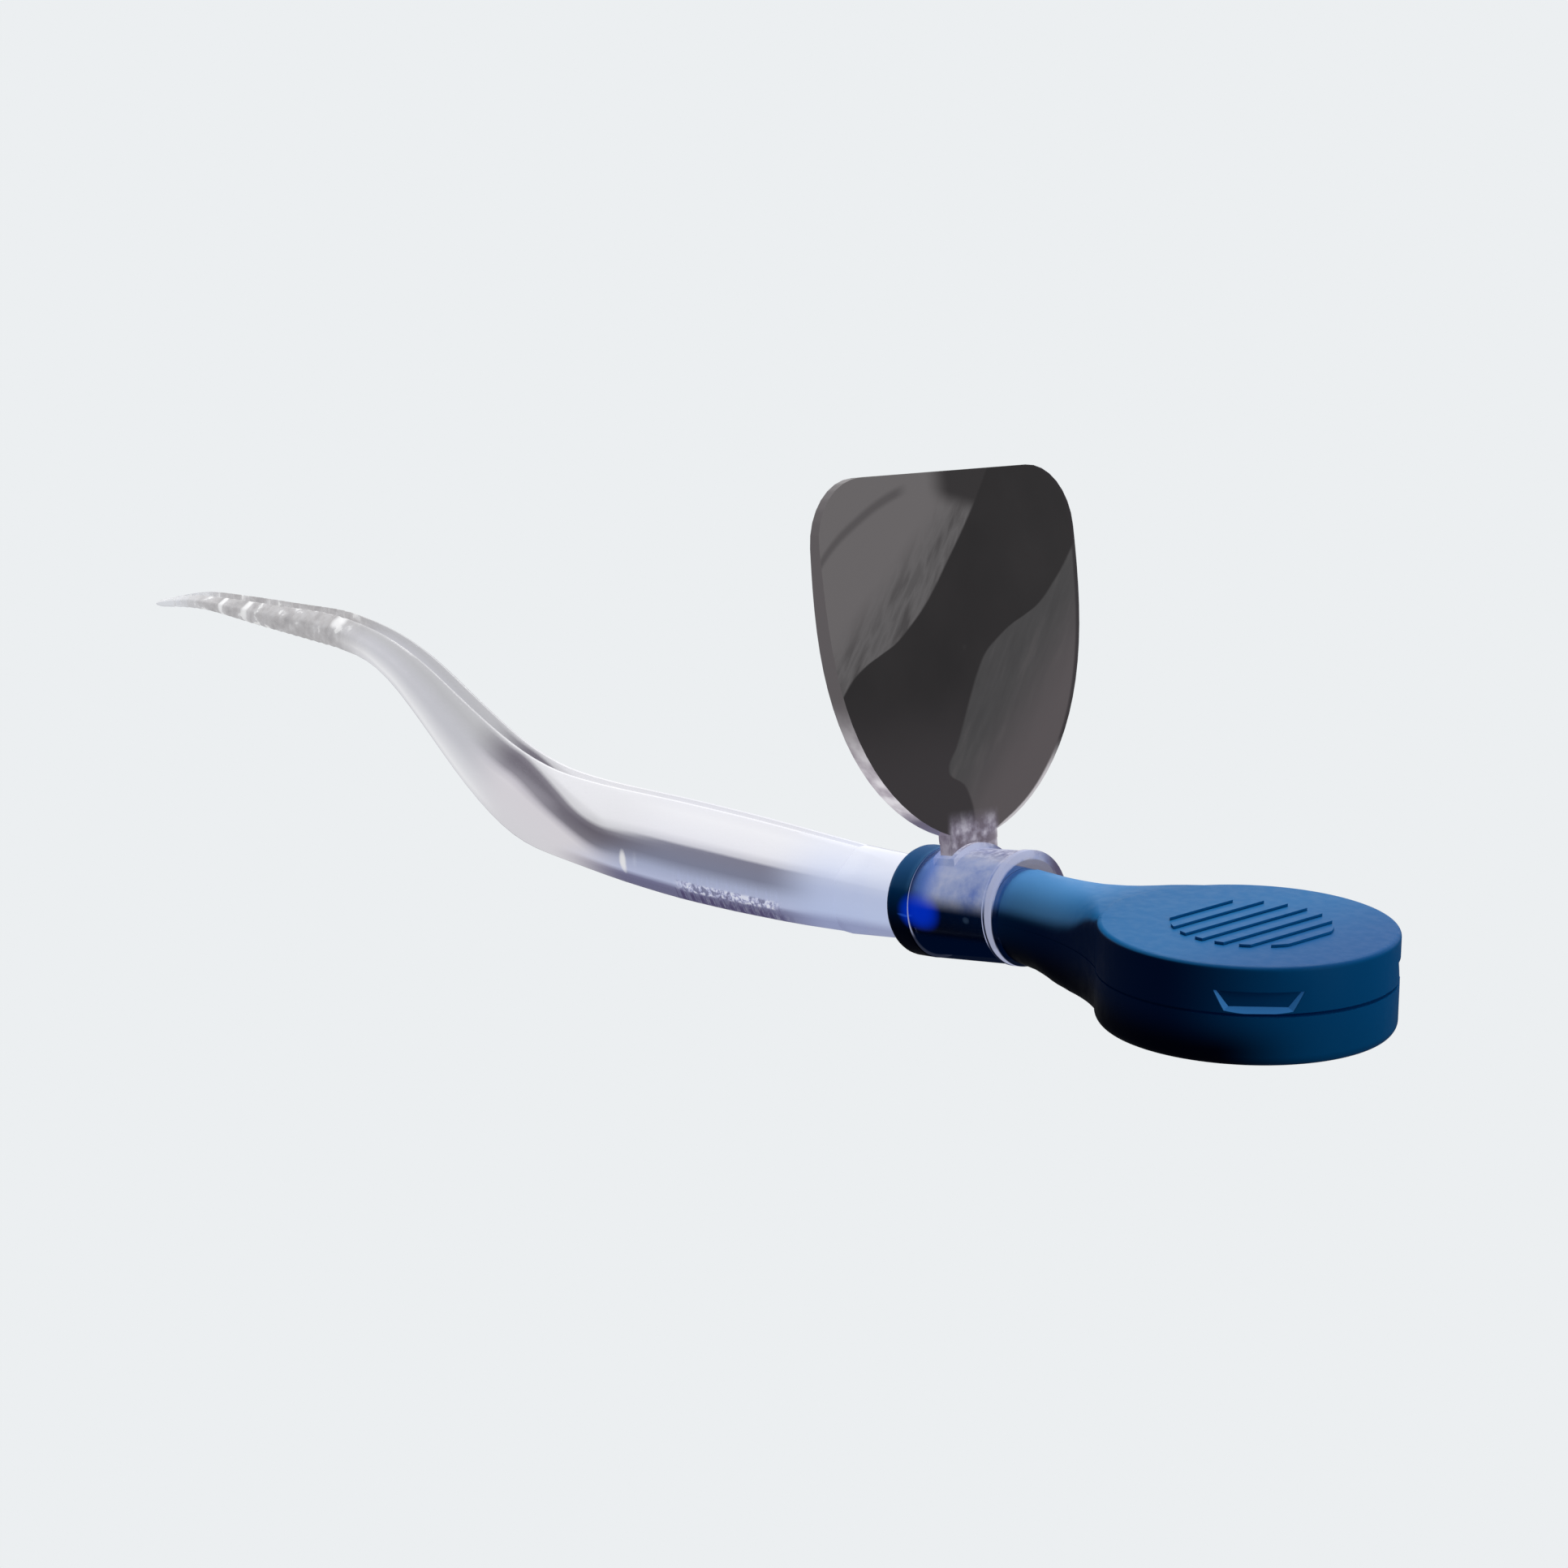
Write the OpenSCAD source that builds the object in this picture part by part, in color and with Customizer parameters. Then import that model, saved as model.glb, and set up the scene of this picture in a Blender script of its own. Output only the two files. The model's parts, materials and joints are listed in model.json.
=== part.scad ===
// Lighted bayonet forceps with a clip-round magnifier.
// A round coin-cell squeeze handle carries a white LED in its neck. A clear
// bayonet forceps head plugs into the neck mouth and guides the light to the
// tips. A clear collar turns on the neck and holds the magnifier pane.
// Frame: origin at the centre of the pod's flat underside, +Z up, tips
// towards -X, magnifier towards +Z. Millimetres.

/* [Part shown] */
// Node to draw, or all of them

/* [Handle pod] */
// Radius of the round pod
pod_r = 13; // [12.8:0.1:14]
// Thickness of the pod
pod_t = 8.8; // [8.8:0.1:9.2]
// Rounding of the pod's lower edge
pod_low_fillet = 1.0; // [0.4:0.1:1.2]
// Rounding of the pod's upper edge
pod_top_fillet = 0.5; // [0.2:0.1:0.8]
// Wall thickness of the shells
wall = 1.3; // [1.2:0.05:1.4]
// Free travel angle of the squeeze lever
squeeze_deg = 0.5; // [0.3:0.05:0.6]

/* [Neck] */
// Outside radius of the neck at its mouth
neck_r = 5.07; // [5.05:0.01:5.15]
// Radius of the collar's groove at its rear end
groove_r = 4.03; // [4:0.01:4.06]
// Nose-down tilt of the neck
neck_tilt = 5.4; // [5.2:0.1:5.6]
// Length of the neck in front of the collar's rear edge
neck_l = 13.45; // [13.4:0.05:13.8]
// Radius of the socket bore that takes the forceps plug
socket_r = 3.45; // [3.43:0.01:3.5]
// Radius of the concave flare between neck and pod
flare_r = 20.7; // [20:0.1:22]

/* [Forceps] */
// Radial clearance of the forceps plug in the socket
plug_gap = 0.05; // [0.02:0.01:0.09]
// Gap between an arm and the centre plane at the root
root_gap = 0.4; // [0.3:0.05:0.6]
// Gap between an arm and the centre plane at the tip
tip_gap = 1.1; // [0.8:0.05:1.3]
// Distance from the pod centre to the tips
tip_len = 148.4; // [146:0.2:150]
// Pitch of the finger ridges
ridge_pitch = 1.3; // [1:0.1:1.6]
// Depth of the finger ridges
ridge_depth = 0.28; // [0.1:0.02:0.35]
// Pitch of the jaw serrations
tooth_pitch = 1.2; // [1:0.1:1.6]
// Depth of the jaw serrations
tooth_depth = 0.2; // [0.1:0.02:0.25]

/* [Magnifier] */
// Radial clearance between the collar and the neck
collar_gap = 0.05; // [0.02:0.01:0.09]
// Outside radius of the collar
collar_r = 5.1; // [5.1:0.01:5.2]
// Half the width of the pane at its widest
pane_half = 16.7; // [15:0.1:18]
// Height of the pane's top edge above its foot line
pane_top = 39.9; // [36:0.1:42]
// Forward lean of the pane, towards the tips
pane_lean = 11.5; // [5:0.5:14]
// Turn of the collar on the neck at rest
collar_turn = -4; // [-8:1:8]
// Centre thickness of the lens pane
pane_t = 2.6; // [2.6:0.1:3]
// Radius of the two lens faces
lens_r = 260; // [250:5:300]

/* [Hidden] */
$fn = 96;
e = 0.01;
part_z = pod_t / 2;                 // parting plane
hinge_x = -22.6;                    // squeeze hinge
hinge_z = part_z + 0.9;
pin_r = 0.6;
seam_x = -26.3;                     // front seam of the lever, under the collar
root_x = -46;                       // where the arms leave the hub
in_r = pod_r - wall;
roof_z = pod_t - wall;
cell_r = 10;
cell_h = 1.6;
cell_z = 1.55;
film_z = cell_z + 2 * cell_h;
leaf_z = 5.02;
leaf_t = 0.2;
leaf_x = -10.5;
rear_x = -25;                       // point on the neck axis near the collar's rear edge
rear_z = 4.33;
groove_l = 10.45;                   // groove that holds the collar
collar_len = 10.15;
foot_x = -31.8;                     // foot of the pane's mid-line
foot_z = 3.05;
nose = 1.0;                         // rounding of the neck mouth
flare_w = 4.35;                     // half width of the flare at the neck

// ---------- helpers ----------
module along_x(x, z) translate([x, 0, z]) rotate([0, -90, 0]) children();
// local +Z runs along the neck axis towards the mouth, from d in front of the rear point
module on_neck(d = 0) translate([rear_x, 0, rear_z]) rotate([0, -(90 + neck_tilt), 0]) translate([0, 0, d]) children();
function groove_at(d) = groove_r + 0.062 * d;

// half width of the concave flare at x
fy = flare_w + flare_r;
fx = -sqrt(pow(pod_r + flare_r, 2) - fy * fy) + 0.25;
function flare_at(x) = x < fx ? flare_w : x > -8.5 ? 9.75 + (x + 8.5) * 0.12 : fy - sqrt(flare_r * flare_r - (x - fx) * (x - fx));
// heights of the flare's top and underside, and the radii of its corners
flare_top = [[-25, 8.43], [-22, 8.4], [-18, 8.47], [-15, 8.62], [-12.5, 8.77], [0, 8.77]];
flare_low = [[-25, 0.0], [-22, -0.08], [-18.5, 0.0], [-15, 0.03], [0, 0.03]];
flare_rt = [[-25, 4.2], [-20, 4.15], [-18, 4.0], [-16, 3.6], [-14.8, 3.1], [-13, 2.0], [-11.2, 1.2], [-9, 1.0], [-6, 1.0]];
flare_rb = [[-25, 4.15], [-22, 3.7], [-20, 2.6], [-18.5, 1.7], [-16, 1.25], [-14, 1.3], [-6, 1.45]];
flare_x = [-25, -24, -23, -22, -21, -20, -19, -18, -17, -16, -15, -14, -13, -12, -11, -10, -9.2, -8.5, -6.5];

module pod_solid() rotate_extrude() union() {
    square([pod_r - pod_low_fillet, pod_t - pod_top_fillet]);
    translate([0, pod_low_fillet]) square([pod_r, pod_t - pod_low_fillet - pod_top_fillet]);
    translate([pod_r - pod_low_fillet, pod_low_fillet]) circle(pod_low_fillet);
    translate([0, pod_low_fillet]) square([pod_r - pod_top_fillet, pod_t - pod_low_fillet]);
    translate([pod_r - pod_top_fillet, pod_t - pod_top_fillet]) circle(pod_top_fillet);
}

module neck_solid() on_neck() rotate_extrude() polygon(concat(
    [[0, -0.8], [groove_at(-0.8), -0.8], [groove_at(groove_l), groove_l], [neck_r - 0.12, groove_l], [neck_r, groove_l + 0.12]],
    [for (i = [0:6]) let (a = 15 * i) [neck_r - nose + nose * cos(a), neck_l - nose + nose * sin(a)]],
    [[0, neck_l]]));

// flare: a skin lofted from the round neck to the slab-like pod
module flare_solid() {
    q = 6;                          // chords in a corner
    m = 4 * (q + 1);
    n = len(flare_x);
    pts = [for (x = flare_x) let (
            w = flare_at(x), zt = lookup(x, flare_top) - 0.002 * abs(x), zb = lookup(x, flare_low),
            rt = min(lookup(x, flare_rt), w - 0.02), rb = min(lookup(x, flare_rb), w - 0.02),
            lean = x < -24.5 ? 1 : x < -23.5 ? 0.6 : x < -22.5 ? 0.3 : 0)
        for (c = [0:3]) for (i = [0:q]) let (
            a = 90 * c + 90 * i / q,
            r = c < 2 ? rt : rb, cy = (c == 0 || c == 3) ? w - r : r - w, cz = c < 2 ? zt - r : zb + r,
            y = cy + r * cos(a), z = cz + r * sin(a))
        [x - lean * tan(neck_tilt) * (z - rear_z), y, z]];
    polyhedron(points = pts, faces = concat(
        [for (i = [0:n - 2]) for (k = [0:m - 1]) let (a = i * m + k, b = i * m + (k + 1) % m, c = a + m, d = b + m)
            each [[a, c, b], [b, c, d]]],
        [for (k = [1:m - 2]) each [[0, k, k + 1], [(n - 1) * m, (n - 1) * m + k + 1, (n - 1) * m + k]]]), convexity = 4);
}

module skin() union() {
    pod_solid();
    neck_solid();
    flare_solid();
}

// everything above the parting line, behind the front seam
module lever_space(lift = 0) {
    translate([seam_x + lift, -20, part_z]) cube([60, 40, 20]);
}

// thumb-nail recess in the lever's skirt: bevelled sides and floor ledge
module nail_recess(a) rotate([0, 0, a]) hull() {
    translate([pod_r - 0.75, 0, 0]) rotate([90, 0, 90]) linear_extrude(0.01)
        polygon([[-2.5, part_z + 0.75], [2.5, part_z + 0.75], [3.6, part_z + 2.2], [-3.6, part_z + 2.2]]);
    translate([pod_r + 0.3, 0, 0]) rotate([90, 0, 90]) linear_extrude(0.01)
        polygon([[-3.6, part_z + 0.02], [3.6, part_z + 0.02], [5.3, part_z + 2.2], [-5.3, part_z + 2.2]]);
}

// ---------- handle ----------
module lower_shell() color([0.06, 0.20, 0.42]) union() {
    difference() {
        skin();
        // lever takes the upper half behind the seam
        lever_space();
        // cell bay
        translate([0, 0, wall]) cylinder(r = in_r, h = 20);
        // snap groove for the lever's catches
        for (a = [-105, 75]) rotate([0, 0, a])
            translate([0, 0, 2.5]) rotate_extrude(angle = 30)
                translate([in_r - 0.5, 0]) square([0.85, 1.0]);
        // wiring channel
        translate([-24.2, -2.6, 1.45]) cube([16, 5.2, 3]);
        translate([-19.8, -3.4, 0.9]) cube([12, 6.8, 3.55]);
        // socket bore
        on_neck(-1) cylinder(r = socket_r, h = 30);
    }
    hinge_ears();
}

// two ears on the side walls that hold the hinge pin
module hinge_ears() difference() {
    for (s = [-1, 1]) {
        translate([hinge_x - 1.1, s > 0 ? 2.25 : -3.9, part_z - 1.4]) cube([2.2, 1.65, 1.35]);
        translate([hinge_x - 1.1, s > 0 ? 2.0 : -2.75, part_z - 1.0]) cube([2.2, 0.75, 2.8]);
    }
    translate([hinge_x, 0, hinge_z]) rotate([90, 0, 0]) cylinder(r = pin_r, h = 12, center = true);
}

module upper_shell() color([0.28, 0.46, 0.68]) union() {
    difference() {
        union() {
            difference() {
                intersection() {
                    skin();
                    translate([seam_x + 0.05, -20, part_z]) cube([60, 40, 20]);
                }
                // skirt edge rises towards the rear by the squeeze angle
                translate([hinge_x, -20, part_z + 0.03]) rotate([0, -squeeze_deg, 0])
                    translate([-10, 0, -5]) cube([60, 40, 5]);
                // cell bay and neck channel
                translate([0, 0, -1]) cylinder(r = in_r, h = roof_z + 1);
                translate([-24.2, -2.85, 0]) cube([17, 5.7, 6.45]);
                on_neck(-0.8) cylinder(r = socket_r, h = 5);
                nail_recess(-46);
                nail_recess(46);
            }
            // inner lip that closes the seam from inside
            difference() {
                translate([0, 0, 3.1]) cylinder(r = in_r - 0.08, h = 3.4);
                translate([0, 0, 3]) cylinder(r = in_r - 0.8, h = 4);
                translate([-20, -7, 2]) cube([13, 14, 5]);
            }
            translate([0, 0, 6]) difference() {
                cylinder(r = in_r + 0.2, h = 1);
                translate([0, 0, -1]) cylinder(r = in_r - 0.8, h = 3);
                translate([-20, -7, -1]) cube([13, 14, 5]);
            }
            // catches
            for (a = [-103, 77]) rotate([0, 0, a])
                translate([0, 0, 3.1]) rotate_extrude(angle = 26)
                    translate([in_r - 0.6, 0]) square([0.8, 0.35]);
            // hinge knuckle
            translate([hinge_x - 1.0, -1.9, hinge_z - 0.95]) cube([2.0, 3.8, 2.4]);
        }
        translate([hinge_x, 0, hinge_z]) rotate([90, 0, 0]) cylinder(r = pin_r + 0.05, h = 5.6, center = true);
    }
    // grip ribs on the top face
    translate([0.3, 0, pod_t - 0.2]) linear_extrude(0.45) intersection() {
        circle(r = 7);
        union() for (i = [-3:3]) translate([i * 2 - 0.4, -7]) square([0.8, 14]);
    }
}

module hinge_pin() color([0.7, 0.7, 0.72])
    translate([hinge_x, 0, hinge_z]) rotate([90, 0, 0]) cylinder(r = pin_r, h = 5.4, center = true);

module press_pad() color([0.85, 0.85, 0.85])
    translate([0, 0, leaf_z + leaf_t + 0.04]) cylinder(r = 2, h = roof_z - leaf_z - leaf_t - 0.04);

// ---------- power and switch ----------
module coin_cell(z) translate([0, 0, z]) union() {
    cylinder(r = 8.8, h = cell_h);
    translate([0, 0, 0.25]) cylinder(r = cell_r, h = cell_h - 0.25);
}

module cell_lower() color([0.78, 0.78, 0.8]) coin_cell(cell_z);
module cell_upper() color([0.78, 0.78, 0.8]) coin_cell(cell_z + cell_h);

module cell_cradle() color([0.9, 0.9, 0.88]) difference() {
    translate([0, 0, wall]) cylinder(r = 10.8, h = 3.6);
    translate([0, 0, cell_z]) cylinder(r = cell_r + 0.12, h = 5);
    cylinder(r = 8.4, h = 5);
    translate([-20, -3.5, 0]) cube([20, 7, 10]);
}

module insulator_film() color([0.95, 0.85, 0.4]) translate([0, 0, film_z]) difference() {
    cylinder(r = 9.8, h = 0.1);
    translate([0, 0, -1]) cylinder(r = 3, h = 3);
}

// strip under the cells, rising along the neck to the cathode lead
module contact_negative() color([0.8, 0.75, 0.55])
    translate([0, -0.5, 0]) rotate([90, 0, 0]) linear_extrude(2)
        polygon([[4, wall], [4, wall + 0.25], [-11.3, wall + 0.25], [-14, 2.8], [-23, 2.8],
                 [-23, 2.55], [-14.1, 2.55], [-11.4, wall]]);

// strip from the resistor up to the root of the switch leaf
module positive_strip() color([0.8, 0.75, 0.55])
    translate([0, 3.1, 0]) rotate([90, 0, 0]) linear_extrude(2.5)
        polygon([[-13.2, 2.6], [-13.2, 2.8], [-10.6, 2.8], [-10.6, leaf_z], [-10.4, leaf_z], [-10.4, 2.6]]);

module switch_leaf() color([0.85, 0.72, 0.4]) union() {
    translate([0, 0, leaf_z]) linear_extrude(leaf_t)
        polygon([[-10.6, 0.6], [-10.6, 3.1], [-8.2, 3.1], [-6.4, 2], [2.6, 2], [2.6, -2], [-6.4, -2], [-8.2, -0.5], [-8.9, 0.6]]);
    translate([0, 0, leaf_z - 0.08]) cylinder(r = 1.2, h = 0.1 + 0.08);
}

module series_resistor() color([0.75, 0.65, 0.45]) union() {
    translate([0, 1.85, 0]) {
        along_x(-14.4, 3.05) cylinder(r = 1.05, h = 4.2);
        along_x(-14.1, 3.05) cylinder(r = 1.15, h = 1.0);
        along_x(-17.9, 3.05) cylinder(r = 1.15, h = 1.0);
        along_x(-10.9, 3.05) cylinder(r = 0.25, h = 10.6);
    }
}

// ---------- lamp ----------
module led() color([0.9, 0.95, 1.0, 0.6]) on_neck(0.6) union() {
    cylinder(r = 2.9, h = 1);
    cylinder(r = 2.5, h = 6.1);
    translate([0, 0, 6.1]) difference() {
        sphere(r = 2.5);
        translate([-5, -5, -10]) cube([10, 10, 10]);
    }
}

// bent from the lamp's base down to the wiring level
module led_lead(y) color([0.75, 0.75, 0.75]) translate([0, y, 0]) rotate([90, 0, 0]) linear_extrude(0.5)
    polygon([[-25.55, 4], [-25.55, 4.5], [-25.2, 4.5], [-24, 3.3], [-21.5, 3.3], [-21.5, 2.8], [-24.2, 2.8], [-25.4, 4]]);

module led_anode_lead() led_lead(2.1);
module led_cathode_lead() led_lead(-1.1);

module led_holder() color([0.95, 0.95, 0.95]) difference() {
    on_neck(1.6) cylinder(r = socket_r - 0.03, h = 6.8);
    on_neck(1) cylinder(r = 2.53, h = 20);
}

// ---------- forceps ----------
// side view of an arm: heights of the top and bottom edges at distances from
// the pod centre, and the outer half width seen from above
top_line = [[-149, 13.0], [-146, 13.9], [-143, 14.7], [-134, 15.4], [-126, 15.9], [-121, 16.3], [-116, 16.0],
            [-111, 15.2], [-106, 13.5], [-101, 11.0], [-96, 8.7], [-91.5, 7.0], [-86.5, 6.0], [-80, 5.9],
            [-70, 6.3], [-60, 6.5], [-40, 6.5]];
bottom_line = [[-149, 12.4], [-143, 13.3], [-140, 13.6], [-131, 13.3], [-116, 13.0], [-113.5, 12.5], [-111, 11.5],
               [-108.5, 10], [-106, 8.0], [-103.5, 6.2], [-101, 4.1], [-98.5, 2.3], [-96, 0.8], [-93.5, -0.5],
               [-91, -1.4], [-88.5, -1.9], [-83, -2.2], [-76, -2.6], [-68, -2.7], [-60, -2.4], [-52, -1.9], [-46, -1.3], [-40, -0.9]];
side_line = [[-149, 1.7], [-143, 2.0], [-134, 2.2], [-121, 2.35], [-111, 2.5], [-101, 2.9], [-90, 3.4], [-80, 3.7],
             [-62, 3.9], [-46, 3.7], [-40, 3.7]];

// a line read with its corners rounded over w millimetres each way
function soft(x, line, w) = (lookup(x - w, line) + 2 * lookup(x - w / 2, line) + 3 * lookup(x, line)
    + 2 * lookup(x + w / 2, line) + lookup(x + w, line)) / 9;
function win(x) = min(3, max(0.01, x + tip_len), max(0.01, root_x - x));
function top_at(x) = soft(x, top_line, win(x));
function bottom_at(x) = soft(x, bottom_line, win(x));
function side_at(x) = soft(x, side_line, win(x));
function inner_at(x) = root_gap + (root_x - x) * (tip_gap - root_gap) / (root_x + tip_len);

// 0 to 1 to 0 wave
function wave(x, pitch) = let (t = x / pitch - floor(x / pitch)) t < 0.5 ? 2 * t : 2 - 2 * t;
// plateau wave for the ridges
function ridge(x, pitch) = let (t = x / pitch - floor(x / pitch)) (t < 0.24 || t > 0.76) ? 0 : 1;

// cross-section of an arm: [share of the width, share of the height, ridged]
section = [[0, 1, 0], [0.10, 1, 0], [0.20, 0.975, 0], [0.82, 0.745, 0], [0.93, 0.695, 0], [0.985, 0.64, 0], [1, 0.58, 0],
           [0.985, 0.42, 0], [0.95, 0.28, 1], [0.88, 0.20, 1], [0.68, 0.06, 1], [0.55, 0.015, 0], [0.4, 0, 0], [0, 0, 0]];
n_sec = len(section);

ridge_from = -53;
ridge_to = ridge_from - 11 * ridge_pitch;
tooth_from = -118;
tooth_to = tooth_from - floor((tip_len - 2.4 + tooth_from) / tooth_pitch) * tooth_pitch;

stations = concat(
    [root_x, -48, -50.5],
    [for (i = [0:10]) each [for (q = [0, 0.22, 0.26, 0.74, 0.78]) ridge_from - (i + q) * ridge_pitch]],
    [for (i = [0:5]) ridge_to - 0.2 - i * 2.6],
    [for (i = [0:19]) -83 - i * 1.72],
    [for (i = [0:1:(tooth_from - tooth_to) / (tooth_pitch / 2)]) tooth_from - i * tooth_pitch / 2],
    [-tip_len + 1.2, -tip_len + 0.5, -tip_len]);

function arm_point(x, k) =
    let (yi = inner_at(x), yo = side_at(x), zt = top_at(x), zb = bottom_at(x), s = section[k],
         nose = x < -tip_len + 0.4 ? 0.55 : x < -tip_len + 0.9 ? 0.85 : 1,
         r = (s[2] > 0 && x <= ridge_from && x >= ridge_to) ? ridge_depth * ridge(ridge_from - x, ridge_pitch) : 0,
         tooth = (x <= tooth_from && x >= tooth_to) ? tooth_depth * wave(tooth_from - x, tooth_pitch) : 0,
         zc = (zt + zb) / 2, yc = (yi + yo) / 2,
         y = yi + (yo - yi) * s[0] + r + (s[0] < 0.05 ? tooth : 0),
         z = zb + (zt - zb) * s[1] - r * 0.3 + (s[1] < 0.02 ? tooth * 0.5 : 0))
    [x, yc + (y - yc) * nose, zc + (z - zc) * nose];

// a skin lofted through the stations; side is +1 or -1
module arm(side) {
    n = len(stations);
    pts = [for (i = [0:n - 1]) for (k = [0:n_sec - 1]) let (p = arm_point(stations[i], k)) [p[0], side * p[1], p[2]]];
    wall_faces = [for (i = [0:n - 2]) for (k = [0:n_sec - 1]) let (
        a = i * n_sec + k, b = i * n_sec + (k + 1) % n_sec, c = a + n_sec, d = b + n_sec)
        each (side > 0 ? [[a, b, c], [b, d, c]] : [[a, c, b], [b, c, d]])];
    caps = [for (k = [1:n_sec - 2]) each (side > 0 ?
        [[0, k + 1, k], [(n - 1) * n_sec, (n - 1) * n_sec + k, (n - 1) * n_sec + k + 1]] :
        [[0, k, k + 1], [(n - 1) * n_sec, (n - 1) * n_sec + k + 1, (n - 1) * n_sec + k]])];
    polyhedron(points = pts, faces = concat(wall_faces, caps), convexity = 6);
}

module arm_left() color([0.85, 0.87, 0.95, 0.6]) arm(-1);
module arm_right() color([0.85, 0.87, 0.95, 0.6]) arm(1);

// plug in the socket, then a blend to the root of the two arms
module forceps_hub() color([0.8, 0.84, 0.96, 0.6]) union() {
    on_neck(9.4) cylinder(r = socket_r - plug_gap, h = neck_l - 9.3);
    hull() {
        on_neck(neck_l + 0.05) cylinder(r = 3.78, h = 0.8, $fn = 48);
        translate([root_x + 0.05, 0, 0]) rotate([90, 0, 90]) linear_extrude(1.2) polygon(concat(
            [for (k = [1:n_sec - 2]) let (p = arm_point(root_x, k)) [p[1], p[2]]],
            [for (k = [n_sec - 2:-1:1]) let (p = arm_point(root_x, k)) [-p[1], p[2]]]));
    }
}

// ---------- magnifier ----------
// lean and turn the pane about its foot; local x is width, local y is height
module on_collar() translate([foot_x, 0, foot_z]) rotate([collar_turn, 0, 0])
    rotate([0, -pane_lean, 0]) rotate([90, 0, 90]) children();

pane_corner = 5.9;
pane_low = pane_top - pane_corner;
function pane_side(t) = [pane_half * pow(1 - pow(t, 2.9), 0.6), pane_low - 27.2 * t];
// height of a lens face over the pane's mid-plane at distance r from the optical axis
function face_at(r) = pane_t / 2 - lens_r + sqrt(lens_r * lens_r - r * r);
stem_w = 3.1;                       // half width of the stem
half_outline = concat(
    [for (i = [0:8]) let (a = 90 - 90 * i / 8)
        [pane_half - pane_corner + pane_corner * cos(a), pane_low + pane_corner * sin(a)]],
    [for (i = [1:20]) pane_side(sin(90 * i / 23))],
    [[stem_w, pane_low - 26.9], [stem_w, pane_low - 27.4]]);

module magnifier_pane() color([0.25, 0.25, 0.26, 0.8]) on_collar() union() {
    intersection() {
        translate([0, 0, -3]) linear_extrude(6) polygon(concat(half_outline,
            [for (i = [len(half_outline) - 1:-1:0]) [-half_outline[i][0], half_outline[i][1]]]));
        translate([0, 24, 0]) rotate_extrude($fn = 192) polygon(concat(
            [for (i = [0:12]) [i * 2, face_at(i * 2)]], [for (i = [12:-1:0]) [i * 2, -face_at(i * 2)]]));
    }
    // stem that fits the slot in the collar's saddle
    translate([-stem_w + 0.02, 5.3, -0.66]) cube([2 * stem_w - 0.04, 2.68, 1.32]);
}

module lens_collar() color([0.75, 0.78, 0.9, 0.6]) difference() {
    union() {
        intersection() {
            union() {
                // thicker on top than below, so its axis drops faster than the neck's
                translate([-23.8, 0, 5.1]) rotate([0, -98.3, 0]) cylinder(r = collar_r, h = 13);
                // low saddle with the slot for the pane's stem
                intersection() {
                    on_collar() translate([-3.45, 3, -1.25]) cube([6.9, 4.5, 2.5]);
                    translate([-23.8, 0, 5.1]) rotate([0, -98.3, 0]) cylinder(r = collar_r + 0.5, h = 13);
                }
            }
            on_neck(0.2) cylinder(r = 9, h = collar_len);
        }
        // rear rim
        intersection() {
            translate([-23.8, 0, 5.1]) rotate([0, -98.3, 0]) cylinder(r = collar_r + 0.13, h = 3);
            on_neck(0.2) cylinder(r = 9, h = 0.9);
        }
    }
    on_neck(-4) cylinder(r1 = groove_at(-4) + collar_gap, r2 = groove_at(20) + collar_gap, h = 24);
    on_collar() translate([-stem_w - 0.02, 5.28, -0.76]) cube([2 * stem_w + 0.04, 5, 1.52]);
}

lower_shell();
upper_shell();
hinge_pin();
press_pad();
cell_lower();
cell_upper();
cell_cradle();
insulator_film();
contact_negative();
positive_strip();
switch_leaf();
series_resistor();
led();
led_anode_lead();
led_cathode_lead();
led_holder();
forceps_hub();
arm_left();
arm_right();
lens_collar();
magnifier_pane();
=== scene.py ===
import json
import math

import bpy
from mathutils import Matrix, Vector

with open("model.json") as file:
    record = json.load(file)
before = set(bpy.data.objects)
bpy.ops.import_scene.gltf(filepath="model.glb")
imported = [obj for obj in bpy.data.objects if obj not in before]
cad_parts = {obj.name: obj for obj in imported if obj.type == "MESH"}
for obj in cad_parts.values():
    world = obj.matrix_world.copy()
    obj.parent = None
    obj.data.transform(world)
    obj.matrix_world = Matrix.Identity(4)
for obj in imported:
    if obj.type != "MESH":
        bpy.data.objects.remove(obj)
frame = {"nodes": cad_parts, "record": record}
nodes = frame["nodes"]
scene = bpy.context.scene

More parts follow.
